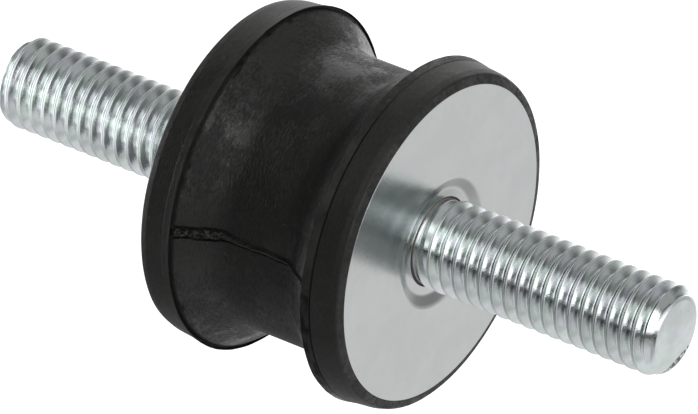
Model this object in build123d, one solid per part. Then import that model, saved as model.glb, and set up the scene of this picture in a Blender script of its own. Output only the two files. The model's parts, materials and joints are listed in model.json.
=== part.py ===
"""Bobbin vibration mount: a waisted rubber body moulded round two studded steel plates.

The origin is the centre of the lower plate's outer face, and +Z runs along the axis towards the
upper stud. The two ends are alike: each end piece is made for the lower end, and mirrored in the
middle plane for the upper one. The mould's parting plane is the XZ plane. Sizes are in millimetres.
"""

from build123d import *

import os
from math import radians, tan

# Overall sizes
rim_diameter = 30.0  # over the sharp lip of a rim
body_height = 20.0  # from one plate's outer face to the other's
stud_length = 23.0  # from a plate's outer face to the end of its stud

# Rubber rim, from the plate's edge round to the flank
rim_height = 3.45  # from the plate's outer face to the lip's inner edge
end_slope_drop = 0.2  # how far the rubber falls away beside the plate
shoulder_width = 0.45  # chamfer between the end slope and the band, across the rim
shoulder_height = 0.65  # the same chamfer, along the axis
lip_strip_width = 0.8  # strip between the band and the lip
lip_flare = 0.25  # the strip widens by this to the lip
groove_width = 0.5  # mould groove between the lip and the flank
groove_depth = 0.35

# Rubber flank and parting ridges
waist_depth = 2.8  # how far the waist lies inside the lip
flank_angle = 38.0  # between the flank and the axis
flank_blend_radius = 3.0  # hollow blend from a flank into the waist
ridge_height = 0.25  # parting ridge, out of the flanks and the waist
ridge_width = 0.45

# Steel plate
rubber_surround = 1.4  # rubber between the plate's edge and the lip
plate_thickness = 2.0
dish_depth = 0.5  # shallow dish pressed round the stud
dish_slope_width = 1.0
dish_floor_width = 0.35
mouth_clearance = 0.35  # ring gap round the stud at the bottom of the dish
mouth_depth = 0.9  # from the plate's outer face to the bottom of the ring gap

# Stud
thread_major_diameter = 7.8  # M8 x 1.25 rolled thread, measured over its crests
thread_start_depth = 0.15  # the crests start this far inside the plate's outer face
collar_inset = 0.3  # the plain collar where the thread runs out lies inside the crests
shank_outset = 0.2  # the shank pressed into the plate's bore lies outside the crests
head_overhang = 1.9  # the head behind the plate reaches past the shank
head_thickness = 1.6
tip_chamfer = 0.75

rim_radius = rim_diameter / 2
waist_radius = rim_radius - waist_depth
plate_radius = rim_radius - rubber_surround
crest_radius = thread_major_diameter / 2
shank_radius = crest_radius + shank_outset
middle_plane = Plane.XY.offset(body_height / 2)


def turned(points):
    """A solid of revolution about the Z axis from a closed outline of (radius, height) points."""
    with BuildPart() as part:
        with BuildSketch(Plane.XZ):
            with BuildLine():
                Polyline(*points, close=True)
            make_face()
        revolve(axis=Axis.Z)
    return part.part


def flank_points():
    """The flank's start beside the groove, and the sharp corner where it would meet the waist."""
    start_radius = rim_radius - groove_width
    rise = (start_radius - waist_radius) / tan(radians(flank_angle))
    return (start_radius, rim_height), (waist_radius, rim_height + rise)


def rubber_outline():
    """Lower half of the bobbin's outline, from the axis round to the middle of the waist."""
    band_radius = rim_radius - lip_flare
    return [
        (0, 0),
        (plate_radius, 0),
        (band_radius - shoulder_width, end_slope_drop),
        (band_radius, end_slope_drop + shoulder_height),
        (band_radius, rim_height - lip_strip_width),
        (rim_radius, rim_height),
        (rim_radius - groove_width / 2, rim_height - groove_depth),
        *flank_points(),
        (waist_radius, body_height / 2),
        (0, body_height / 2),
    ]


def rubber_half():
    """Lower half of the bobbin before the metal is taken out of it."""
    waist_corner = flank_points()[1]
    with BuildPart() as half:
        with BuildSketch(Plane.XZ) as section:
            with BuildLine():
                Polyline(*rubber_outline(), close=True)
            make_face()
            fillet(section.vertices().sort_by_distance((*waist_corner, 0))[0], flank_blend_radius)
        revolve(axis=Axis.Z)
    return half.part


def parting_ridges(core):
    """Two ridges left by the mould's parting plane, over both flanks and the waist."""
    foot, corner = flank_points()
    top = body_height - foot[1]
    with BuildSketch(Plane.XZ) as strip:
        with BuildLine():
            Polyline(
                (corner[0] - ridge_width, foot[1]),
                foot,
                corner,
                (corner[0], body_height - corner[1]),
                (foot[0], top),
                (corner[0] - ridge_width, top),
                close=True,
            )
        make_face()
        offset(amount=ridge_height, kind=Kind.INTERSECTION)
        with Locations((0, body_height / 2)):
            Rectangle(2 * rim_diameter, top - foot[1], mode=Mode.INTERSECT)
    fin = extrude(strip.sketch, amount=ridge_width / 2, both=True)
    return [fin - core, fin.rotate(Axis.Z, 180) - core]


def plate():
    """Lower steel plate, bored for the stud and dished round it."""
    mouth = crest_radius + mouth_clearance
    dish_floor = mouth + dish_floor_width
    return turned(
        [
            (shank_radius, plate_thickness),
            (plate_radius, plate_thickness),
            (plate_radius, 0),
            (dish_floor + dish_slope_width, 0),
            (dish_floor, dish_depth),
            (mouth, dish_depth),
            (mouth, mouth_depth),
            (shank_radius, mouth_depth),
        ]
    )


def head_outline():
    """The stud's head behind the plate, as it sits in the rubber."""
    radius = shank_radius + head_overhang
    top = plate_thickness + head_thickness
    return [(radius, plate_thickness), (radius, top), (0, top)]


def stud():
    """Lower stud: head, pressed shank, collar and plain cylinder over the thread's crests."""
    collar_radius = crest_radius - collar_inset
    return turned(
        [
            (0, -stud_length),
            (crest_radius - tip_chamfer, -stud_length),
            (crest_radius, tip_chamfer - stud_length),
            (crest_radius, thread_start_depth),
            (collar_radius, thread_start_depth + collar_inset),
            (collar_radius, mouth_depth),
            (shank_radius, mouth_depth),
            (shank_radius, plate_thickness),
            *head_outline(),
        ]
    )


def rubber_body():
    """The bobbin, hollowed where the plates and the studs' heads are moulded in."""
    half = rubber_half()
    plate_pocket = Pos(0, 0, plate_thickness / 2) * Cylinder(plate_radius, plate_thickness)
    head_pocket = turned([(0, plate_thickness), *head_outline()])
    half = half - plate_pocket - head_pocket
    whole = half + half.mirror(middle_plane)
    return whole.fuse(*parting_ridges(whole))


def upper(piece):
    """The same piece at the upper end."""
    return piece.mirror(middle_plane)


def main():
    os.makedirs("parts", exist_ok=True)
    nodes = {
        "rubber_body": rubber_body(),
        "lower_plate": plate(),
        "upper_plate": upper(plate()),
        "lower_stud": stud(),
        "upper_stud": upper(stud()),
    }
    for name, solid in nodes.items():
        solid.label = name
        export_step(solid, f"parts/{name}.step")


main()
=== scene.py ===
"""Bobbin vibration mount: finished pieces on the fixed frame, and a white studio round them."""

import json
from math import asin, atan2, cos, hypot, pi, radians, sin, tan

import bpy
from bpy.props import FloatProperty, FloatVectorProperty, IntProperty, PointerProperty
from mathutils import Matrix, Vector, noise


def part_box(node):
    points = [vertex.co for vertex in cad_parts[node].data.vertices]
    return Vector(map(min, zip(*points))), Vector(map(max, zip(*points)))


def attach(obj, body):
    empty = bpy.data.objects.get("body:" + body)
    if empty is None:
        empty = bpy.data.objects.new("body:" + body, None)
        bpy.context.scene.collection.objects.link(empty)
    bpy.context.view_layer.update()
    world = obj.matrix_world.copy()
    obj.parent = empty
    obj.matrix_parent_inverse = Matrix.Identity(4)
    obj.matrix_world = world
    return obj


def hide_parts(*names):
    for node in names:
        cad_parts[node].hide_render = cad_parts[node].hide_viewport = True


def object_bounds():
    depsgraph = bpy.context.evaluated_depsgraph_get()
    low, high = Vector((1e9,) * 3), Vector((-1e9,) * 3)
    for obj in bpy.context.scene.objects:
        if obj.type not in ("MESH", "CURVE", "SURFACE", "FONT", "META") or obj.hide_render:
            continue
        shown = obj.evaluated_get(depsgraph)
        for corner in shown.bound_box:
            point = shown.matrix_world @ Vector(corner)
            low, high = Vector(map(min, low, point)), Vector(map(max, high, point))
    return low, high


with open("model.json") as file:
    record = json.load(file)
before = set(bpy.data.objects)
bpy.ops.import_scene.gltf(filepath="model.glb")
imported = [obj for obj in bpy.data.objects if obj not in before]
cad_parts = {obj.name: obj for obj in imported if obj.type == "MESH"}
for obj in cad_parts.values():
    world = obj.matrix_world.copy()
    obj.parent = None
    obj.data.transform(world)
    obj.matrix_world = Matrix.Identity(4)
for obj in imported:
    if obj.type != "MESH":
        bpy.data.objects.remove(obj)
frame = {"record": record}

bl_info = {
    "name": "Bobbin Vibration Mount",
    "version": (1, 0, 0),
    "blender": (4, 5, 0),
    "location": "3D View > Sidebar > Mount",
    "description": "Models a studded rubber bobbin mount and its studio",
    "category": "Add Mesh",
}

MM = 0.001

# Places and sizes from the frame
CAD_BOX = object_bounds()
CENTRE = (CAD_BOX[0] + CAD_BOX[1]) / 2
MOUNTS = {mount["name"]: mount for mount in frame["record"]["mounts"]}
BODY_HEIGHT = MOUNTS["upper_stud"]["pos_m"][2]
RIM_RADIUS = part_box("rubber_body")[1].x
PLATE_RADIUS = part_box("lower_plate")[1].x
PLATE_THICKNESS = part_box("lower_plate")[1].z
HEAD_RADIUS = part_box("lower_stud")[1].x
HEAD_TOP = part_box("lower_stud")[1].z
STUD_LENGTH = -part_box("lower_stud")[0].z
CREST_RADIUS = MOUNTS["lower_stud"]["dims"]["r_mm"] * MM

# Details that more than one piece or finish shares
BORE_RADIUS = CREST_RADIUS - 0.05 * MM  # a plate's bore, and the shank pressed into it
STEP_DROP = 0.84 * MM  # from the lip down to the step between its strip and the rim's band

# Points nearer to each other than this are joined
WELD = 0.002 * MM  # where a turned shell closes
THREAD_WELD = 0.003 * MM  # between the turns of a thread
SLIVER = 0.001 * MM  # where a thread meets its shank
CUT_WELD = 0.00001 * MM  # where a thread's ends are cut off

# Soft boxes: name, place from the mount's centre as (right, up, towards the camera), width, watts,
# whether gloss mirrors the box, and whether it lights the lower stud alone
SOFT_BOXES = (
    ("key_box", (0.45, 0.60, 0.35), 0.5, 5.0, False, False),
    ("end_box", (-0.119, 0.035, -0.084), 0.11, 0.2, True, False),
    ("low_stud_box", (-0.0496, 0.0107, 0.0105), 0.04, 0.0078, True, True),
    ("low_stud_fill", (-0.051, -0.018, -0.0063), 0.045, 0.0064, True, True),
    ("low_stud_front", (-0.023, -0.0158, 0.0337), 0.045, 0.0073, True, True),
)

# Cards that gloss mirrors, from below (0) to overhead (1), each with its brightness
CARDS = (
    (0.0, 0.26),
    (0.19, 0.22),
    (0.215, 0.05),
    (0.28, 0.04),
    (0.31, 1.0),
    (0.41, 1.0),
    (0.45, 0.45),
    (0.53, 0.38),
    (0.56, 0.06),
    (0.62, 0.07),
    (0.68, 0.22),
    (1.0, 0.2),
)

# Round glows that gloss mirrors on the camera's side: direction as (right, up, towards the camera),
# where the glow starts and where it is full, as the cosine from its middle, and its brightness
GLOWS = (
    ((0.38, 0.08, 0.92), 0.92, 0.98, 2.6),
    ((-0.22, 0.48, 0.85), 0.89, 0.95, 1.1),
    ((0.1, -0.93, 0.35), 0.9, 0.97, 0.25),
)

CARD_BRIGHTNESS = 2.3
AMBIENT = 0.4  # the world's share of the soft light
PAPER_GLOW = 0.75  # lifts the paper to white for the camera, and keeps the shadow


def length(name, description, default):
    """A size in metres that a user may change."""
    return FloatProperty(
        name=name, description=description, default=default, unit="LENGTH", subtype="DISTANCE", precision=5
    )


def angle(name, description, degrees):
    """An angle that a user may change, given in degrees."""
    return FloatProperty(name=name, description=description, default=radians(degrees), subtype="ANGLE")


def colour(name, description, default):
    """A surface colour that a user may change."""
    return FloatVectorProperty(
        name=name, description=description, default=default, size=4, min=0, max=1, subtype="COLOR"
    )


class RubberSettings(bpy.types.PropertyGroup):
    rim_height: length("Rim height", "From the plate's outer face to the lip", 3.45 * MM)
    band_inset: length("Band inset", "How far the rim's band lies inside the lip", 0.22 * MM)
    groove_width: length("Groove width", "Mould groove between the lip and the flank", 0.46 * MM)
    groove_depth: length("Groove depth", "Depth of the mould groove below the lip", 0.3 * MM)
    waist_depth: length("Waist depth", "How far the waist lies inside the lip", 2.8 * MM)
    flank_angle: angle("Flank angle", "Between the flank and the axis", 38)
    blend_radius: length("Blend radius", "Hollow blend from the flank to the waist", 3.0 * MM)
    seam_height: length("Seam height", "How far the parting seam stands out", 0.26 * MM)
    seam_width: length("Seam width", "Width of the ragged parting seam", 0.95 * MM)
    tint: colour("Rubber", "Colour of the rubber", (0.0064, 0.0063, 0.0057, 1))


class PlateSettings(bpy.types.PropertyGroup):
    dish_radius: length("Dish radius", "Outer radius of the shallow dish", 5.7 * MM)
    dish_floor_radius: length("Dish floor radius", "Where the dish's slope ends", 4.65 * MM)
    dish_depth: length("Dish depth", "Depth of the dish", 0.45 * MM)
    edge_radius: length("Edge radius", "Rounding of the plate's outer edge", 0.015 * MM)
    tint: colour("Plate zinc", "Colour of the plates' zinc", (0.553, 0.565, 0.56, 1))


class StudSettings(bpy.types.PropertyGroup):
    pitch: length("Pitch", "Distance from one thread crest to the next", 1.25 * MM)
    thread_depth: length("Thread depth", "From the crests down to the root", 0.70 * MM)
    crest_width: length("Crest width", "Width of the rolled crest", 0.31 * MM)
    tip_chamfer: length("Tip chamfer", "Chamfer at the stud's end", 0.93 * MM)
    low_start: angle("Lower start", "Where the lower thread starts", 138.6)
    high_start: angle("Upper start", "Where the upper thread starts", 61)
    steps: IntProperty(name="Steps", description="Segments in one turn of thread", default=72, min=12)
    tint: colour("Stud zinc", "Colour of the studs' zinc", (0.70, 0.722, 0.716, 1))


class StudioSettings(bpy.types.PropertyGroup):
    azimuth: angle("Azimuth", "Camera's turn round the axis", 60.75)
    elevation: angle("Elevation", "Camera's height over the plates", 29.275)
    roll: angle("Roll", "Camera's turn about its own axis", 111.34)
    distance: length("Distance", "From the camera to the mount's centre", 0.7716)
    shift_right: length("Aim right", "How far the camera aims to the right of the centre", 0.607 * MM)
    shift_up: length("Aim up", "How far the camera aims above the centre", -0.266 * MM)
    lens: FloatProperty(name="Lens", description="Focal length in millimetres", default=486.14)
    paper: colour("Paper", "Colour of the studio's paper", (0.8, 0.8, 0.8, 1))


# Modelling helpers


def deselect():
    """Leave edit mode and deselect everything, the frame's nodes included."""
    if bpy.context.object and bpy.context.object.mode != "OBJECT":
        bpy.ops.object.mode_set(mode="OBJECT")
    bpy.ops.object.select_all(action="DESELECT")


def pick(piece):
    """Select one piece alone, in object mode."""
    deselect()
    piece.select_set(True)
    bpy.context.view_layer.objects.active = piece


def edit(piece):
    """Enter edit mode on one piece, with all of it selected."""
    pick(piece)
    bpy.ops.object.mode_set(mode="EDIT")
    bpy.ops.mesh.select_all(action="SELECT")


def apply_modifiers(piece):
    """Apply every modifier of a piece, in order."""
    pick(piece)
    for modifier in list(piece.modifiers):
        bpy.ops.object.modifier_apply(modifier=modifier.name)


def wire(name, outline, bearing=0.0):
    """A chain of edges through (radius, height) points, at a bearing round the axis, in edit mode."""
    across = Vector((cos(bearing), sin(bearing), 0))
    places = [across * radius + Vector((0, 0, height)) for radius, height in outline]
    deselect()
    bpy.ops.mesh.primitive_plane_add(size=1 * MM, location=(0, 0, 0))
    piece = bpy.context.object
    piece.name = piece.data.name = name
    bpy.ops.object.mode_set(mode="EDIT")
    bpy.ops.mesh.merge(type="CENTER")
    bpy.ops.transform.translate(value=places[0])
    for before, after in zip(places, places[1:]):
        bpy.ops.mesh.extrude_region_move(TRANSFORM_OT_translate={"value": after - before})
    return piece


def spin_round(sectors):
    """Spin the wire in edit mode through sectors of (angle, steps) that add up to a full turn."""
    bpy.ops.mesh.select_all(action="SELECT")
    for sweep, steps in sectors:
        bpy.ops.mesh.spin(steps=steps, angle=sweep, center=(0, 0, 0), axis=(0, 0, 1))
    close_shell()


def close_shell():
    """Merge doubles, point the faces outwards and leave edit mode."""
    bpy.ops.mesh.select_all(action="SELECT")
    bpy.ops.mesh.remove_doubles(threshold=WELD)
    bpy.ops.mesh.normals_make_consistent(inside=False)
    bpy.ops.object.mode_set(mode="OBJECT")


def turned(name, outline, steps=192):
    """A closed solid turned about the Z axis, from an outline that is closed or ends on the axis."""
    piece = wire(name, outline)
    spin_round([(2 * pi, steps)])
    return piece


def smooth(piece, limit):
    """Smooth shading, except over edges that turn by more than a limit."""
    pick(piece)
    bpy.ops.object.shade_smooth_by_angle(angle=limit)


def line(start, end, step):
    """Points from start to end, about a step apart, without the end."""
    count = max(1, round(hypot(end[0] - start[0], end[1] - start[1]) / step))
    return [
        (start[0] + (end[0] - start[0]) * i / count, start[1] + (end[1] - start[1]) * i / count)
        for i in range(count)
    ]


def rounded(outline, radii, step):
    """An outline with some corners rounded and its straight runs divided. radii maps index to radius."""
    points, start = [], outline[0]
    for i in range(1, len(outline)):
        corner = Vector(outline[i])
        radius = radii.get(i, 0)
        if radius:
            back = (Vector(outline[i - 1]) - corner).normalized()
            on = (Vector(outline[i + 1]) - corner).normalized()
            half = back.angle(on) / 2
            reach = radius / tan(half)
            centre = corner + (back + on).normalized() * radius / sin(half)
            begin, end = corner + back * reach, corner + on * reach
            points += line(start, begin, step)
            sweep = (begin - centre).angle_signed(end - centre)
            turns = max(3, round(abs(sweep) * radius / step))
            for k in range(turns):
                spoke = begin - centre
                spoke.rotate(Matrix.Rotation(-sweep * k / turns, 2))
                points.append(tuple(centre + spoke))
            start = tuple(end)
        else:
            points += line(start, outline[i], step)
            start = outline[i]
    points.append(tuple(outline[-1]))
    return points


def place_piece(piece, slot, *nodes):
    """Seat a finished piece on the frame, in place of CAD nodes."""
    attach(piece, "root")
    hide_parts(*nodes)


def weigh(piece, name, weight):
    """A vertex group whose weights come from a function of each point's place."""
    group = piece.vertex_groups.new(name=name)
    least = 0.001
    for vertex in piece.data.vertices:
        value = weight(vertex.co)
        if value > least:
            group.add([vertex.index], min(1.0, value), "REPLACE")


def mark(piece, name, share):
    """A value from 0 to 1 on each point, for the material, from a function of the point's place."""
    layer = piece.data.attributes.new(name, "FLOAT", "POINT")
    shares = [min(1.0, max(0.0, share(vertex.co))) for vertex in piece.data.vertices]
    layer.data.foreach_set("value", shares)


def ramp(value, low, high):
    """Smooth step from 0 at low to 1 at high."""
    share = min(1.0, max(0.0, (value - low) / (high - low)))
    return share * share * (3 - 2 * share)


def cloud(place, size):
    """Noise between -1 and 1, in clouds of about a given size."""
    return noise.noise(place / size)


def flutter(seed, height, size):
    """Noise between -1 and 1 that changes with height alone. The seed is a pair of numbers."""
    return noise.noise(Vector((*seed, height / size)))


def from_end(place):
    """Distance of a place from the axis, and its height over the nearer plate's outer face."""
    return hypot(place.x, place.y), min(place.z, BODY_HEIGHT - place.z)


# Shader helpers


class Output:
    """A node's output, on which arithmetic adds Math nodes."""

    def __init__(self, graph, socket):
        self.graph = graph
        self.socket = socket

    def math(self, operation, *values):
        return self.graph.add("ShaderNodeMath", {"operation": operation}, *values)["Value"]

    def __add__(self, other):
        return self.math("ADD", self, other)

    def __radd__(self, other):
        return self.math("ADD", other, self)

    def __sub__(self, other):
        return self.math("SUBTRACT", self, other)

    def __rsub__(self, other):
        return self.math("SUBTRACT", other, self)

    def __mul__(self, other):
        return self.math("MULTIPLY", self, other)

    def __rmul__(self, other):
        return self.math("MULTIPLY", other, self)

    def __truediv__(self, other):
        return self.math("DIVIDE", self, other)

    def __rtruediv__(self, other):
        return self.math("DIVIDE", other, self)

    def __pow__(self, other):
        return self.math("POWER", self, other)

    def __rpow__(self, other):
        return self.math("POWER", other, self)

    def __abs__(self):
        return self.math("ABSOLUTE", self)

    def largest(self, other):
        """The larger of this value and another."""
        return self.math("MAXIMUM", self, other)

    def between(self, low, high, start=0.0, end=1.0):
        """Smooth step of this value from start at low to end at high."""
        return self.graph.add(
            "ShaderNodeMapRange",
            {"interpolation_type": "SMOOTHSTEP"},
            **{"Value": self, "From Min": low, "From Max": high, "To Min": start, "To Max": end},
        )["Result"]


class Made:
    """A node, whose enabled outputs are read by name."""

    def __init__(self, graph, node):
        self.graph = graph
        self.node = node

    def __getitem__(self, name):
        return Output(self.graph, next(s for s in self.node.outputs if s.enabled and s.name == name))


class Graph:
    """The nodes of one material or world."""

    def __init__(self, tree):
        self.tree = tree
        tree.nodes.clear()

    def add(self, kind, settings=None, *places, **names):
        """Add a node of a kind, set it up, then fill its inputs in order or by name."""
        node = self.tree.nodes.new(kind)
        for key, value in (settings or {}).items():
            if key == "stops":
                while len(node.color_ramp.elements) < len(value):
                    node.color_ramp.elements.new(1)
                for element, (position, shade) in zip(node.color_ramp.elements, value):
                    element.position = position
                    element.color = shade if hasattr(shade, "__len__") else (shade, shade, shade, 1)
            else:
                setattr(node, key, value)
        enabled = [socket for socket in node.inputs if socket.enabled]
        filled = list(zip(enabled, places))
        filled += [(next(s for s in enabled if s.name == name), value) for name, value in names.items()]
        for socket, value in filled:
            if isinstance(value, Output):
                self.tree.links.new(value.socket, socket)
            else:
                socket.default_value = value
        return Made(self, node)

    def blend(self, share, first, second):
        """Colour between first and second."""
        return self.add("ShaderNodeMix", {"data_type": "RGBA"}, share, first, second)["Result"]

    def dot(self, first, second):
        """How far a vector reaches along a fixed one."""
        settings = {"operation": "DOT_PRODUCT"}
        return self.add("ShaderNodeVectorMath", settings, first, tuple(second))["Value"]

    def marked(self, name):
        """A value that was marked on the piece's points."""
        return self.add("ShaderNodeAttribute", {"attribute_name": name})["Fac"]

    def axes(self, place):
        """The three coordinates of a place, and its distance from the Z axis."""
        split = self.add("ShaderNodeSeparateXYZ", None, Vector=place)
        x, y, z = split["X"], split["Y"], split["Z"]
        return x, y, z, (x * x + y * y) ** 0.5

    def noise(self, place, scale, detail=3.0, roughness=0.5, distortion=0.0):
        """Cloudy noise from 0 to 1, with a scale in clouds to the metre."""
        return self.add(
            "ShaderNodeTexNoise",
            {"noise_dimensions": "3D"},
            Vector=place,
            Scale=scale,
            Detail=detail,
            Roughness=roughness,
            Distortion=distortion,
        )["Fac"]

    def stretched(self, place, scale, turn=(0, 0, 0)):
        """The place scaled and turned by a Mapping node."""
        return self.add("ShaderNodeMapping", None, Vector=place, Scale=scale, Rotation=turn)["Vector"]

    def bump(self, height, strength, distance):
        """A Bump node's normal."""
        node = self.add("ShaderNodeBump", None, Height=height, Strength=strength, Distance=distance)
        return node["Normal"]


def new_material(name):
    """An empty material and its graph."""
    material = bpy.data.materials.new(name)
    material.use_nodes = True
    return material, Graph(material.node_tree)


def finish_material(graph, **names):
    """A Principled shader on the material's output."""
    shader = graph.add("ShaderNodeBsdfPrincipled", None, **names)
    graph.add("ShaderNodeOutputMaterial", None, Surface=shader["BSDF"])


def scaled(tint, *factors):
    """A colour multiplied by one factor, or by one for each channel."""
    if len(factors) == 1:
        factors *= 3
    return tuple(factor * channel for factor, channel in zip(factors, tint)) + (1,)


def along(x, y, degrees):
    """How far out a place lies towards a bearing round the axis."""
    return x * cos(radians(degrees)) + y * sin(radians(degrees))


def rubber_material(tint):
    """Moulded rubber: satin patches and streaks, fine grain, painted shade in recesses, pale ragged flash,
    painted highlights.

    The patches and streaks stand out most on one stretch of the lower half, where they paint a sheen into
    the base colour.
    """
    material, graph = new_material("moulded_rubber")
    place = graph.add("ShaderNodeTexCoord")["Object"]
    x, y, z, radius = graph.axes(place)
    recess, flash, torn, band = (graph.marked(name) for name in ("recess", "flash", "torn", "band"))
    shreds = graph.noise(graph.stretched(place, (2600, 5600, 2600)), 1.0, 2.0, 0.6, 0.4)
    # Dark shreds in the torn seam add to the painted shade of the recesses
    recess = recess.largest(torn * shreds.between(0.52, 0.62, 0.0, 0.8))
    flash = flash.largest(torn * shreds.between(0.4, 0.5, 0.9, 0.0))

    clouds = graph.noise(place, 170.0, 2.0, 0.5)
    patches = graph.noise(place, 420.0, 3.0, 0.55, 0.4)
    streaks = graph.noise(graph.stretched(place, (2200, 2200, 6500), (0.5, 0.3, 0)), 1.0, 3.0, 0.65, 0.3)
    grain = graph.noise(place, 11000.0, 2.0, 0.5)
    specks = graph.noise(place, 2300.0, 1.0, 0.5).between(0.70, 0.76)
    middle = BODY_HEIGHT / 2
    # Painted sheen: stronger mottle on the stretch of the lower half facing -42 degrees
    wear_and_sheen = (along(x, y, -42) / radius).between(0.80, 0.97) * z.between(middle, middle + 4 * MM, 1.0, 0.0)
    mottle = (clouds * 0.45 + patches * 0.35 + streaks * 0.2).between(0.44, 0.6)
    mottle = 0.45 + (mottle - 0.45) * (0.5 + wear_and_sheen * 0.8)

    # Pale colour for the flash, the specks and the painted highlights
    bloom_and_highlight = scaled(tint, 8.0)
    paler = mottle * 0.4 + streaks.between(0.4, 0.6, 0.0, 0.3) + band * 0.18
    base = graph.blend(paler, scaled(tint, 0.4), scaled(tint, 2.6))
    # Painted highlight: pales the rim's strip on its -Y side and the narrow seam's ridge, besides the torn
    # seam's flash
    base = graph.blend(flash * grain.between(0.3, 0.7, 0.4, 1.0), base, bloom_and_highlight)
    base = graph.blend(specks * 0.3, base, bloom_and_highlight)
    # Painted shade: darkens the groove, the step, the strip's +Y side, the lip and the seam's edges
    base = graph.blend(recess, base, scaled(tint, 0.2))
    rough = mottle.between(0, 1, 0.66, 0.3) + (grain - 0.5) * 0.16 - (streaks - 0.5) * 0.45
    rough = rough + (0.52 - rough) * band * 0.8
    rough = rough + (0.85 - rough) * recess.largest(flash * 0.4)
    furrows = streaks * mottle.between(0, 1, 0.7, 1.7) * (1 - band * 0.75) * (0.6 + wear_and_sheen * 0.8)
    height = furrows + grain * 0.4 + patches * 0.6 + shreds * torn * 1.2
    finish_material(
        graph,
        **{
            "Base Color": base,
            # Painted shade: the recess mark also makes the rubber partly metallic, which darkens it further
            "Metallic": recess * 0.6,
            "Roughness": rough,
            "Specular IOR Level": 0.36,
            "Normal": graph.bump(height, 0.7, 0.045 * MM),
        },
    )
    return material


def zinc_material(name, tint, roughness, grain_scale, grain_depth, clouding, cast, dish_shade_strength):
    """Zinc plating: two passivation tints in clouds, crystalline grain and dull specks.

    The cast is how strong the two tints are, and the clouding how dark the clouds and specks are.
    A brown stain lies in the mouth round the stud, painted shade darkens a ring on the dish's slope on two
    sides, and a patch on one side of the stud's tip is darker. The thread's crests are worn dull.
    """
    material, graph = new_material(name)
    place = graph.add("ShaderNodeTexCoord")["Object"]
    x, y, z, radius = graph.axes(place)
    face = BODY_HEIGHT / 2
    tip = face + STUD_LENGTH
    from_middle = abs(z - face)
    clouds = graph.noise(place, 260.0, 3.0, 0.6)
    hue = graph.noise(place, 620.0, 2.0, 0.5)
    grain = graph.noise(place, grain_scale, 4.0, 0.65)
    specks = graph.noise(place, grain_scale * 0.6, 1.0, 0.4).between(0.70, 0.77)

    stain = (face - from_middle).between(0.25 * MM, 0.36 * MM)
    stain = stain * radius.between(BORE_RADIUS - 0.4 * MM, BORE_RADIUS - 0.26 * MM)
    stain = stain * radius.between(BORE_RADIUS, BORE_RADIUS + 0.08 * MM, 1.0, 0.0)
    # Painted shade: a darker ring on the dish's slope, strongest on the two sides along 70.7 degrees
    dish_shade_ring = radius.between(4.5 * MM, 4.9 * MM) * radius.between(5.35 * MM, 5.7 * MM, 1.0, 0.0)
    dish_shade_ring = dish_shade_ring * abs(along(x, y, 70.7) / radius).between(0.45, 0.95) * dish_shade_strength
    # A darker, patchy crescent on one side of the stud's tip
    tip_dark_patch = along(x, y, 113).between(2.35 * MM, 2.5 * MM)
    tip_dark_patch = tip_dark_patch * from_middle.between(tip - 0.4 * MM, tip - 0.3 * MM)
    tip_dark_patch = tip_dark_patch * graph.noise(place, 4200.0, 2.0, 0.6).between(0.42, 0.52)
    # Real wear: the thread's crests are rougher
    wear_and_sheen = radius.between(CREST_RADIUS - 0.09 * MM, CREST_RADIUS - 0.03 * MM)
    wear_and_sheen = wear_and_sheen * from_middle.between(face + 0.3 * MM, face + 0.6 * MM)

    green = scaled(tint, 1 - 0.07 * cast, 1.0, 1 - 0.025 * cast)
    blue = scaled(tint, 1 - 0.02 * cast, 1 - 0.015 * cast, 1 + 0.04 * cast)
    grey = scaled(tint, 0.45)
    brown = (0.20, 0.17, 0.145, 1)
    base = graph.blend(hue.between(0.4, 0.62), green, blue)
    base = graph.blend(clouds.between(0.35, 0.68, clouding, 0.0), base, grey)
    base = graph.blend(specks * clouding, base, grey)
    # Painted shade on the dish's slope
    base = graph.blend(dish_shade_ring, base, grey)
    base = graph.blend(tip_dark_patch, base, scaled(tint, 0.12))
    base = graph.blend(stain, base, brown)
    rough = grain.between(0.3, 0.7, roughness * 0.75, roughness * 1.3)
    rough = rough + (0.4 - rough) * wear_and_sheen
    rough = rough + (0.8 - rough) * stain
    finish_material(
        graph,
        **{
            "Base Color": base,
            "Metallic": 1 - stain,
            "Roughness": rough,
            "Normal": graph.bump(grain, 0.5, grain_depth),
        },
    )
    return material


# Pieces


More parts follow.
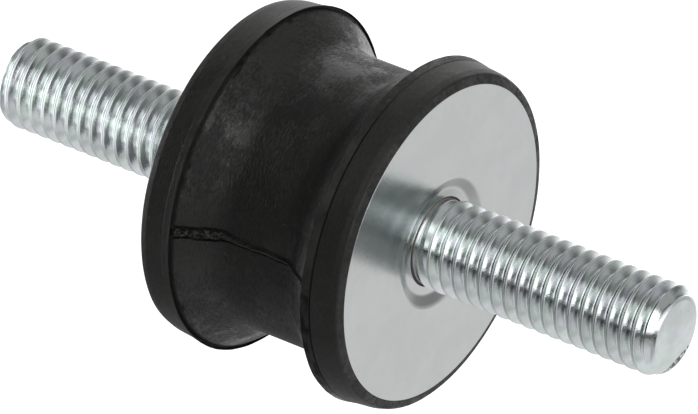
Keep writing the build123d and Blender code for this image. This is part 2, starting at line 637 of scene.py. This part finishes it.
class MOUNT_OT_rubber(bpy.types.Operator):
    """Model the waisted rubber body with its lips, grooves and parting seams"""

    bl_idname = "mount.rubber"
    bl_label = "Rubber body"

    def execute(self, context):
        size = context.scene.mount_rubber
        half = self.half_outline(size)
        whole = half + [(radius, BODY_HEIGHT - height) for radius, height in reversed(half[:-1])]
        beside_seam = asin(1.0 * MM / (RIM_RADIUS - size.waist_depth))
        piece = wire("rubber_bobbin", whole, beside_seam)
        fine, coarse = (2 * beside_seam, 44), (pi - 2 * beside_seam, 76)
        spin_round([fine, coarse, fine, coarse])
        self.mark_surface(piece, size)
        self.raise_seams(piece, size)
        self.roughen(piece, size)
        smooth(piece, radians(35))
        piece.data.materials.append(rubber_material(size.tint))
        place_piece(piece, "rubber", "rubber_body")
        return {"FINISHED"}

    def half_outline(self, size):
        """Lower half of the section, from the pocket round the stud's head to the middle of the waist."""
        band = RIM_RADIUS - size.band_inset
        flank = RIM_RADIUS - size.groove_width
        waist = RIM_RADIUS - size.waist_depth
        rise = (flank - waist) / tan(size.flank_angle)
        lip = size.rim_height
        floor = lip - size.groove_depth
        pocket = [
            (0, HEAD_TOP),
            (HEAD_RADIUS, HEAD_TOP),
            (HEAD_RADIUS, PLATE_THICKNESS),
            (PLATE_RADIUS, PLATE_THICKNESS),
            (PLATE_RADIUS, 0.01 * MM),
        ]
        rim = [
            (PLATE_RADIUS, 0.01 * MM),
            (PLATE_RADIUS + 0.1 * MM, 0.0),
            (band - 0.35 * MM, 0.2 * MM),
            (band - 0.16 * MM, 0.85 * MM),
            (band, lip - STEP_DROP - 0.04 * MM),
            (band - 0.08 * MM, lip - STEP_DROP),
            (band + 0.05 * MM, lip - STEP_DROP + 0.06 * MM),
            (RIM_RADIUS - 0.02 * MM, lip - 0.08 * MM),
            (RIM_RADIUS - 0.06 * MM, lip),
            (RIM_RADIUS - 0.15 * MM, lip - 0.02 * MM),
            (RIM_RADIUS - 0.24 * MM, floor + 0.05 * MM),
            (flank + 0.12 * MM, floor),
            (flank, lip + 0.08 * MM),
            (flank - 0.10 * MM, lip + 0.22 * MM),
            (waist, lip + rise + 0.1 * MM),
            (waist, BODY_HEIGHT / 2),
        ]
        waist_corner = len(rim) - 2
        corners = {2: 0.25 * MM, 3: 0.7 * MM, waist_corner: size.blend_radius}
        return pocket[:-1] + rounded(rim, corners, 0.085 * MM)

    def seam_line(self, place, size):
        """Distance from the wandering seam, the seam's half width, and 1 where it is torn wide.

        It is torn wide on the lower flank, and a narrow ridge over the waist and the upper flank.
        """
        wander = 0.14 * MM * flutter((0, 3.1), place.z, 1.3 * MM)
        wide = 1 - ramp(place.z, 5.8 * MM, 9.0 * MM)
        half = size.seam_width / 2 * (0.42 + 0.58 * wide)
        side = 12.7 if place.y > wander else 7.7
        half *= 1 + 0.22 * flutter((side, 0), place.z, 0.7 * MM)
        half += 0.05 * MM * flutter((side, 4.4), place.z, 0.2 * MM)
        return abs(place.y - wander), half, wide

    def in_pocket(self, place, size):
        """Whether a place is on the hidden pocket, well inside the waist."""
        return hypot(place.x, place.y) < RIM_RADIUS - size.waist_depth - 0.5 * MM

    def on_seam(self, place, size):
        """1 on the flanks and the waist, where the mould halves meet, and 0 elsewhere."""
        if self.in_pocket(place, size):
            return 0
        radius, height = from_end(place)
        foot = size.rim_height - 0.25 * MM
        inside = ramp(height, foot, foot + 0.2 * MM)
        return inside * (1 - ramp(radius, RIM_RADIUS - 0.5 * MM, RIM_RADIUS - 0.35 * MM))

    def step_shows(self, place):
        """Share of the step that is left: it shows on the upper rim, round the +X seam."""
        if place.z < BODY_HEIGHT / 2:
            return 0
        bearing = atan2(place.y, place.x)
        return ramp(bearing, radians(-80), radians(-50)) * (1 - ramp(bearing, radians(35), radians(55)))

    def at_step(self, place, size, full, none):
        """1 within a distance from the step's middle, falling to 0 at another."""
        radius, height = from_end(place)
        line = 1 - ramp(abs(height - size.rim_height + STEP_DROP), full, none)
        return line * ramp(radius, RIM_RADIUS - 0.5 * MM, RIM_RADIUS - 0.4 * MM)

    def on_strip(self, place, size):
        """1 on the strip between the step and the lip, as far as the step shows."""
        radius, height = from_end(place)
        strip = ramp(radius, RIM_RADIUS - 0.21 * MM, RIM_RADIUS - 0.17 * MM)
        strip *= ramp(height, size.rim_height - 0.82 * MM, size.rim_height - 0.74 * MM)
        return strip * self.step_shows(place)

    def groove_shade(self, place, size):
        """Painted shade: a dark frayed line along the mould groove, fainter on the -X side."""
        radius, height = from_end(place)
        around = place.normalized() * 9
        fray = 1 + 0.5 * noise.noise(around) + 0.5 * noise.noise(around * 4)
        inner = RIM_RADIUS - size.groove_width
        line = ramp(radius, inner - 0.12 * MM * fray, inner)
        line *= 1 - ramp(radius, RIM_RADIUS - 0.22 * MM, RIM_RADIUS - 0.16 * MM)
        line *= ramp(height, size.rim_height - 0.65 * MM, size.rim_height - 0.55 * MM)
        return 0.35 * line * fray * (0.3 + 0.7 * ramp(place.x, 0, 6 * MM))

    def lip_tears(self, place, size):
        """Small ragged patches of painted shade just inside the lip, in some stretches of it."""
        radius, height = from_end(place)
        tears = 1 - ramp(abs(height - size.rim_height - 0.1 * MM), 0.12 * MM, 0.3 * MM)
        tears *= ramp(radius, RIM_RADIUS - 0.75 * MM, RIM_RADIUS - 0.6 * MM)
        tears *= ramp(cloud(place, 0.4 * MM), 0.05, 0.3) * ramp(cloud(place, 5 * MM), -0.1, 0.2)
        return 0.9 * tears

    def seam_edges(self, place, size):
        """Painted shade: dark ragged lines along the seam's edges, fainter where it is narrow, most of all
        on the -Y side.
        """
        off, half, wide = self.seam_line(place, size)
        edge = 1 - ramp(abs(off - half), 0.06 * MM, 0.14 * MM)
        edge *= 0.75 + 0.35 * cloud(place, 0.3 * MM)
        edge *= wide + (1 - wide) * (0.15 if place.y < 0 else 0.6)
        return edge * self.on_seam(place, size)

    def mark_surface(self, piece, size):
        """Mark painted shade, pale flash and painted highlights, the torn seam and the rim's band for the
        material.
        """

        # Painted shade: dark lines at the step, on the strip's +Y side, in the groove, inside the lip and
        # along the seam's edges
        def recess(place):
            if self.in_pocket(place, size):
                return 0
            step = 0.8 * self.at_step(place, size, 0.02 * MM, 0.07 * MM) * self.step_shows(place)
            ragged = self.on_strip(place, size) * ramp(place.y, -0.5 * MM, 1.5 * MM)
            ragged *= 0.2 + 0.6 * ramp(cloud(place, 0.5 * MM), -0.1, 0.3)
            lines = (part(place, size) for part in (self.groove_shade, self.lip_tears, self.seam_edges))
            return max(step, ragged, *lines)

        # Painted highlight on the rim's strip, on its -Y side only, and on the narrow seam's ridge
        def flash(place):
            strip = self.on_strip(place, size) * (1 - ramp(place.y, -1 * MM, 1 * MM))
            strip *= 0.5 * ramp(cloud(place, 2.2 * MM), -0.3, 0.4)
            off, half, wide = self.seam_line(place, size)
            ridge = (1 - ramp(off, half * 0.3, half * 0.6)) * (1 - wide) * 0.5
            return max(strip, self.on_seam(place, size) * ridge)

        def torn(place):
            off, half, wide = self.seam_line(place, size)
            return self.on_seam(place, size) * wide * (1 - ramp(off, half * 0.7, half * 0.85))

        def band(place):
            radius, height = from_end(place)
            fall = ramp(height, size.rim_height - 0.9 * MM, size.rim_height - 0.7 * MM)
            if place.z < BODY_HEIGHT / 2:
                fall = ramp(height, size.rim_height, size.rim_height + 0.1 * MM)
            return ramp(radius, RIM_RADIUS - 0.7 * MM, RIM_RADIUS - 0.5 * MM) * (1 - fall)

        for share in (recess, flash, torn, band):
            mark(piece, share.__name__, share)

    def raise_seams(self, piece, size):
        """Fill the step where it doesn't show, then raise the ragged parting seams between fine furrows."""

        def filled(place):
            return self.at_step(place, size, 0.025 * MM, 0.035 * MM) * (1 - self.step_shows(place))

        def ridge(place):
            off, half, wide = self.seam_line(place, size)
            torn = 1 - wide * 0.7 * ramp(cloud(place, 0.3 * MM), 0.0, 0.3)
            return self.on_seam(place, size) * (1 - ramp(off, half * 0.5, half * 0.8)) * torn

        def furrow(place):
            off, half, wide = self.seam_line(place, size)
            side = wide + (1 - wide) * (0.1 if place.y < 0 else 0.8)
            return self.on_seam(place, size) * (1 - ramp(abs(off - half), 0.04 * MM, 0.12 * MM)) * side

        for share, height in (
            (filled, 0.095 * MM),
            (ridge, size.seam_height),
            (furrow, -0.6 * size.seam_height),
        ):
            weigh(piece, share.__name__, share)
            lift = piece.modifiers.new(share.__name__, "DISPLACE")
            lift.vertex_group = share.__name__
            lift.strength = height
            lift.mid_level = 0.0
        apply_modifiers(piece)

    def roughen(self, piece, size):
        """Uneven lips and a slow waviness all over the moulded surface."""

        def lip(place):
            radius, height = from_end(place)
            near = 1 - ramp(abs(height - size.rim_height), 0.25 * MM, 0.9 * MM)
            return near * ramp(radius, RIM_RADIUS - 0.5 * MM, RIM_RADIUS - 0.2 * MM)

        weigh(piece, "lip", lip)
        for name, group, scale, strength in (
            ("uneven_lip", "lip", 1.3, -0.05),
            ("waviness", "", 5.0, -0.05),
        ):
            clouds = bpy.data.textures.new(name, "CLOUDS")
            clouds.noise_scale = scale * MM
            clouds.noise_depth = 1
            wave = piece.modifiers.new(name, "DISPLACE")
            wave.texture = clouds
            wave.texture_coords = "LOCAL"
            wave.strength = strength * MM
            wave.mid_level = 0.0
            wave.vertex_group = group
        apply_modifiers(piece)


class MOUNT_OT_plates(bpy.types.Operator):
    """Model the two dished steel plates"""

    bl_idname = "mount.plates"
    bl_label = "Steel plates"

    def execute(self, context):
        size = context.scene.mount_plates
        outline = rounded(
            [
                (BORE_RADIUS, PLATE_THICKNESS),
                (PLATE_RADIUS, PLATE_THICKNESS),
                (PLATE_RADIUS, 0),
                (size.dish_radius, 0),
                (size.dish_floor_radius, size.dish_depth),
                (BORE_RADIUS + 0.04 * MM, size.dish_depth - 0.12 * MM),
                (BORE_RADIUS, size.dish_depth - 0.07 * MM),
                (BORE_RADIUS, PLATE_THICKNESS),
            ],
            {2: size.edge_radius, 3: 0.45 * MM, 4: 0.5 * MM},
            0.1 * MM,
        )
        zinc = zinc_material(
            "plate_zinc",
            size.tint,
            roughness=0.2,
            grain_scale=3600.0,
            grain_depth=0.004 * MM,
            clouding=0.08,
            cast=0.3,
            dish_shade_strength=0.9,
        )
        for name, node, flip in (("plate_low", "lower_plate", False), ("plate_high", "upper_plate", True)):
            points = [(radius, BODY_HEIGHT - height if flip else height) for radius, height in outline]
            piece = turned(name, points)
            smooth(piece, radians(40))
            piece.data.materials.append(zinc)
            place_piece(piece, "plate_steel", node)
        return {"FINISHED"}


class MOUNT_OT_studs(bpy.types.Operator):
    """Model the two studs with their rolled threads"""

    bl_idname = "mount.studs"
    bl_label = "Threaded studs"

    def execute(self, context):
        size = context.scene.mount_studs
        zinc = zinc_material(
            "stud_zinc",
            size.tint,
            roughness=0.125,
            grain_scale=7000.0,
            grain_depth=0.014 * MM,
            clouding=0.35,
            cast=1.0,
            dish_shade_strength=0.0,
        )
        for name, node, begin, flip in (
            ("stud_low", "lower_stud", size.low_start, False),
            ("stud_high", "upper_stud", size.high_start, True),
        ):
            piece = self.threaded(name, size, begin)
            if flip:
                edit(piece)
                middle = (0, 0, BODY_HEIGHT / 2)
                bpy.ops.transform.rotate(value=pi, orient_axis="X", center_override=middle)
                bpy.ops.object.mode_set(mode="OBJECT")
            smooth(piece, radians(32))
            piece.data.materials.append(zinc)
            place_piece(piece, "stud_steel", node)
        return {"FINISHED"}

    def crest_section(self, size):
        """One pitch of the rolled thread, as (radius, height) points: two fine ridges on each crest."""
        half = size.crest_width / 2
        root = CREST_RADIUS - size.thread_depth
        flank = radians(30)
        fall = (size.thread_depth - 0.05 * MM) * tan(flank)
        middle = size.pitch / 2
        corners = [
            (CREST_RADIUS - 0.085 * MM, 0),
            (CREST_RADIUS - 0.055 * MM, half * 0.18),
            (CREST_RADIUS - 0.012 * MM, half * 0.34),
            (CREST_RADIUS, half * 0.52),
            (CREST_RADIUS - 0.010 * MM, half * 0.74),
            (CREST_RADIUS - 0.050 * MM, half),
            (root + 0.07 * MM, half + fall - 0.04 * MM),
            (root + 0.015 * MM, (half + fall + middle) / 2),
            (root, middle),
        ]
        back = [(radius, size.pitch - height) for radius, height in reversed(corners[:-1])]
        return corners + back

    def threaded(self, name, size, begin):
        """A lower stud: a helical thread cut to the stud's envelope, on its shank and head."""
        start = -STUD_LENGTH - 1.5 * size.pitch
        section = [(radius, start + height) for radius, height in self.crest_section(size)]
        piece = wire(name, section, begin)
        bpy.ops.object.mode_set(mode="OBJECT")
        screw = piece.modifiers.new("thread", "SCREW")
        screw.angle = 2 * pi
        screw.screw_offset = size.pitch
        screw.iterations = round(STUD_LENGTH / size.pitch) + 3
        screw.steps = screw.render_steps = size.steps
        screw.use_merge_vertices = False
        apply_modifiers(piece)
        edit(piece)
        bpy.ops.mesh.remove_doubles(threshold=THREAD_WELD)
        for height, upwards in ((-STUD_LENGTH - 0.1 * MM, -1), (0.95 * MM, 1)):
            bpy.ops.mesh.select_all(action="SELECT")
            bpy.ops.mesh.bisect(
                plane_co=(0, 0, height),
                plane_no=(0, 0, upwards),
                clear_outer=True,
                use_fill=True,
                threshold=CUT_WELD,
            )
        close_shell()
        self.boolean(piece, self.envelope(size), "INTERSECT")
        self.boolean(piece, self.shank(), "UNION")
        edit(piece)
        bpy.ops.mesh.remove_doubles(threshold=SLIVER)
        bpy.ops.mesh.dissolve_degenerate(threshold=SLIVER)
        bpy.ops.object.mode_set(mode="OBJECT")
        return piece

    def envelope(self, size):
        """The lower thread's outer limits: its rounded tip, and the run-out inside the plate's dish."""
        tip = CREST_RADIUS - size.tip_chamfer
        outline = [
            (0, -STUD_LENGTH),
            (tip - 0.12 * MM, -STUD_LENGTH),
            (tip - 0.02 * MM, -STUD_LENGTH + 0.018 * MM),
            (tip + 0.10 * MM, -STUD_LENGTH + 0.06 * MM),
            (tip + 0.24 * MM, -STUD_LENGTH + 0.125 * MM),
            (tip + 0.36 * MM, -STUD_LENGTH + 0.20 * MM),
            (tip + 0.46 * MM, -STUD_LENGTH + 0.30 * MM),
            (CREST_RADIUS + 0.1 * MM, -STUD_LENGTH + size.tip_chamfer * 1.05),
            (CREST_RADIUS + 0.1 * MM, -0.75 * MM),
            (CREST_RADIUS - 0.23 * MM, 0.0),
            (CREST_RADIUS - 0.23 * MM, 0.9 * MM),
            (0, 0.9 * MM),
        ]
        return turned("envelope", outline, 144)

    def shank(self):
        """The collar, the shank pressed into the plate and the head behind it."""
        collar = CREST_RADIUS - 0.22 * MM
        outline = [
            (0, -0.9 * MM),
            (collar - 0.5 * MM, -0.9 * MM),
            (collar, 0.1 * MM),
            (collar, 0.47 * MM),
            (BORE_RADIUS, 0.47 * MM),
            (BORE_RADIUS, PLATE_THICKNESS),
            (HEAD_RADIUS, PLATE_THICKNESS),
            (HEAD_RADIUS, HEAD_TOP),
            (0, HEAD_TOP),
        ]
        return turned("shank", outline, 144)

    def boolean(self, piece, tool, operation):
        """Combine a piece with a tool solid, and remove the tool and the empty material slot it leaves."""
        pick(piece)
        cut = piece.modifiers.new(operation, "BOOLEAN")
        cut.operation = operation
        cut.solver = "MANIFOLD"
        cut.object = tool
        bpy.ops.object.modifier_apply(modifier=cut.name)
        bpy.data.objects.remove(tool)
        piece.data.materials.clear()


class MOUNT_OT_studio(bpy.types.Operator):
    """Set up the paper floor, the soft boxes, the world and the camera"""

    bl_idname = "mount.studio"
    bl_label = "Studio"

    def execute(self, context):
        size = context.scene.mount_studio
        scene = context.scene
        scene.view_settings.view_transform = "Standard"
        camera = self.camera(scene, size)
        self.floor(size)
        self.world(scene, camera)
        stud_only = bpy.data.collections.new("low_stud_only")
        stud_only.objects.link(bpy.data.objects["stud_low"])
        for name, spot, width, watts, mirrored, alone in SOFT_BOXES:
            lamp = self.soft_box(name, camera, spot, width, watts)
            lamp.visible_camera = False
            lamp.visible_glossy = mirrored
            if alone:
                lamp.light_linking.receiver_collection = stud_only
        return {"FINISHED"}

    def camera(self, scene, size):
        """A long lens at the given angle, aimed near the mount's centre."""
        data = bpy.data.cameras.new("camera")
        data.lens = size.lens
        data.clip_start = 0.05
        data.clip_end = 20
        camera = bpy.data.objects.new("camera", data)
        scene.collection.objects.link(camera)
        out = cos(size.elevation)
        back = Vector((sin(size.azimuth) * out, -cos(size.azimuth) * out, sin(size.elevation)))
        level = (-back).to_track_quat("-Z", "Y").to_matrix()
        turn = (level @ Matrix.Rotation(size.roll, 3, "Z")).to_4x4()
        right, up = turn.col[0].to_3d(), turn.col[1].to_3d()
        place = CENTRE + back * size.distance + right * size.shift_right + up * size.shift_up
        camera.matrix_world = Matrix.Translation(place) @ turn
        scene.camera = camera
        return camera

    def floor(self, size):
        """A sheet of pale paper under the lower stud, which keeps the mount's shadow."""
        deselect()
        bpy.ops.mesh.primitive_plane_add(size=4, location=(0, 0, CAD_BOX[0].z))
        paper = bpy.context.object
        paper.name = "paper_floor"
        bpy.ops.object.transform_apply(location=True)
        material, graph = new_material("paper")
        camera_ray = graph.add("ShaderNodeLightPath")["Is Camera Ray"]
        matt = graph.add("ShaderNodeBsdfDiffuse", None, Color=tuple(size.paper))
        strength = camera_ray * PAPER_GLOW
        glow = graph.add("ShaderNodeEmission", None, Color=(1, 1, 1, 1), Strength=strength)
        both = graph.add("ShaderNodeAddShader", None, matt["BSDF"], glow["Emission"])
        graph.add("ShaderNodeOutputMaterial", None, Surface=both["Shader"])
        paper.data.materials.append(material)
        paper.visible_glossy = False

    def world(self, scene, camera):
        """White for the camera, an even grey for soft light, and a studio for gloss to mirror."""
        world = bpy.data.worlds.new("studio")
        scene.world = world
        world.use_nodes = True
        graph = Graph(world.node_tree)
        rays = graph.add("ShaderNodeLightPath")
        seen = rays["Is Camera Ray"].largest(rays["Is Transmission Ray"])
        gloss = rays["Is Glossy Ray"]
        strength = seen + gloss * self.mirrored_studio(graph, camera) + (1 - seen) * (1 - gloss) * AMBIENT
        sky = graph.add("ShaderNodeBackground", None, Color=(1, 1, 1, 1), Strength=strength)
        graph.add("ShaderNodeOutputWorld", None, Surface=sky["Background"])

    def mirrored_studio(self, graph, camera):
        """What gloss mirrors: cards and glows on the camera's side, and a backdrop behind the mount."""
        looking = graph.add("ShaderNodeTexCoord")["Generated"]
        view = camera.matrix_world.to_3x3()

        def towards(direction):
            """How nearly a ray looks in a direction, given as (right, up, towards the camera)."""
            return graph.dot(looking, view @ Vector(direction))

        right, up, back = towards((1, 0, 0)), towards((0, 1, 0)), towards((0, 0, 1))

        sides = right.between(-0.5, 0.1, 0.3, 1.0)
        far_left = towards((-0.82, 0.10, -0.56)).between(0.93, 0.98) * 0.8
        backdrop = up.between(-0.1, 0.6, 0.92, 1.25) * (sides + far_left)
        upper_right = up.between(0.25, 0.5) * right.between(0.4, 0.6)
        backdrop = backdrop * (1 - upper_right * 0.8)
        backdrop = backdrop * towards((0.92, 0.2, -0.33)).between(0.86, 0.96, 1.0, 0.62)
        backdrop = backdrop + towards((0.1, 0.3, -0.95)).between(0.85, 0.97) * 0.7

        cards = graph.add("ShaderNodeValToRGB", {"stops": CARDS}, up * 0.5 + 0.5)["Color"]
        left_dim = right.between(-0.5, 0.15, 0.13, 1.0)
        bottom = up.between(-0.8, -0.6, 1.0, 0.0) * right.between(-0.8, -0.2)
        low_left = up.between(-0.5, -0.3, 0.6, 0.0) * right.between(-0.7, -0.3, 1.0, 0.0)
        level = low_left.largest(cards * CARD_BRIGHTNESS * left_dim.largest(bottom))
        for direction, start, full, brightness in GLOWS:
            level = level + towards(direction).between(start, full) * brightness
        return level + (backdrop - level) * back.between(-0.25, 0.1, 1.0, 0.0)

    def soft_box(self, name, camera, spot, width, watts):
        """A square soft box at (right, up, towards the camera) from the mount's centre, and facing it."""
        data = bpy.data.lights.new(name, "AREA")
        data.size = width
        data.energy = watts
        lamp = bpy.data.objects.new(name, data)
        bpy.context.scene.collection.objects.link(lamp)
        offset = camera.matrix_world.to_3x3() @ Vector(spot)
        facing = (-offset).to_track_quat("-Z", "Y").to_matrix().to_4x4()
        lamp.matrix_world = Matrix.Translation(CENTRE + offset) @ facing
        return lamp


class MOUNT_PT_panel(bpy.types.Panel):
    """Lists the mount's pieces and their sizes"""

    bl_idname = "MOUNT_PT_panel"
    bl_label = "Bobbin Vibration Mount"
    bl_space_type = "VIEW_3D"
    bl_region_type = "UI"
    bl_category = "Mount"

    def draw(self, context):
        for operator, settings in zip(OPERATORS, SETTINGS):
            box = self.layout.box()
            box.operator(operator.bl_idname)
            group = getattr(context.scene, settings)
            for name in group.__annotations__:
                box.prop(group, name)


OPERATORS = (MOUNT_OT_rubber, MOUNT_OT_plates, MOUNT_OT_studs, MOUNT_OT_studio)
SETTINGS = {
    "mount_rubber": RubberSettings,
    "mount_plates": PlateSettings,
    "mount_studs": StudSettings,
    "mount_studio": StudioSettings,
}
CLASSES = (*SETTINGS.values(), *OPERATORS, MOUNT_PT_panel)


def register():
    for item in CLASSES:
        bpy.utils.register_class(item)
    for name, settings in SETTINGS.items():
        setattr(bpy.types.Scene, name, PointerProperty(type=settings))


def unregister():
    for name in SETTINGS:
        delattr(bpy.types.Scene, name)
    for item in reversed(CLASSES):
        bpy.utils.unregister_class(item)


def main():
    register()
    bpy.ops.mount.rubber()
    bpy.ops.mount.plates()
    bpy.ops.mount.studs()
    bpy.ops.mount.studio()


if __name__ == "__main__":
    main()
